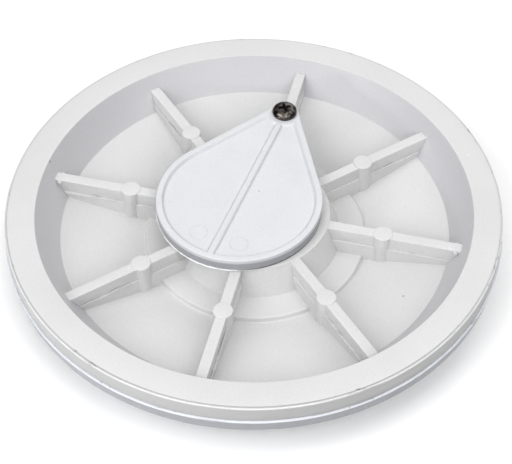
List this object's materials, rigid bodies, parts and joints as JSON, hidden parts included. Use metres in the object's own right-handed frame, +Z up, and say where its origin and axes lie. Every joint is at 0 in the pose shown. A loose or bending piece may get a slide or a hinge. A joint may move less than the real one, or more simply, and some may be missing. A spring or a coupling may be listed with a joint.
{
  "type": "pool skimmer float valve disc",
  "caption": "Round hollow float disc with a ribbed dish, a central water port and a teardrop trim flap that swings on a pan-head screw.",
  "frame": {"origin": "centre of the flat base ring it stands on, on the disc's axis", "axes": "+Z up along the disc's axis, from the smooth cover towards the flap side; +Y from the axis towards the flap's pivot screw; +X to the right of that, seen from above"},
  "size_m": [0.184, 0.184, 0.0315],
  "materials": {
    "body_plastic": "moulded white plastic, half gloss",
    "cover_plastic": "moulded cool white plastic, half gloss",
    "flap_plastic": "moulded cool white plastic, satin",
    "screw_steel": "stainless steel, weathered"
  },
  "bodies": {
    "float": {"ribbed_body": "body_plastic", "float_cover": "cover_plastic", "pivot_screw": "screw_steel"},
    "flap": {"trim_flap": "flap_plastic"}
  },
  "joints": [
    {"name": "flap_swing", "type": "hinge", "parent": "float", "child": "flap", "pos_m": [0, 0.0481, 0.026], "axis": [0, 0, 1], "range_deg": [-50.1, 64.9]}
  ]
}
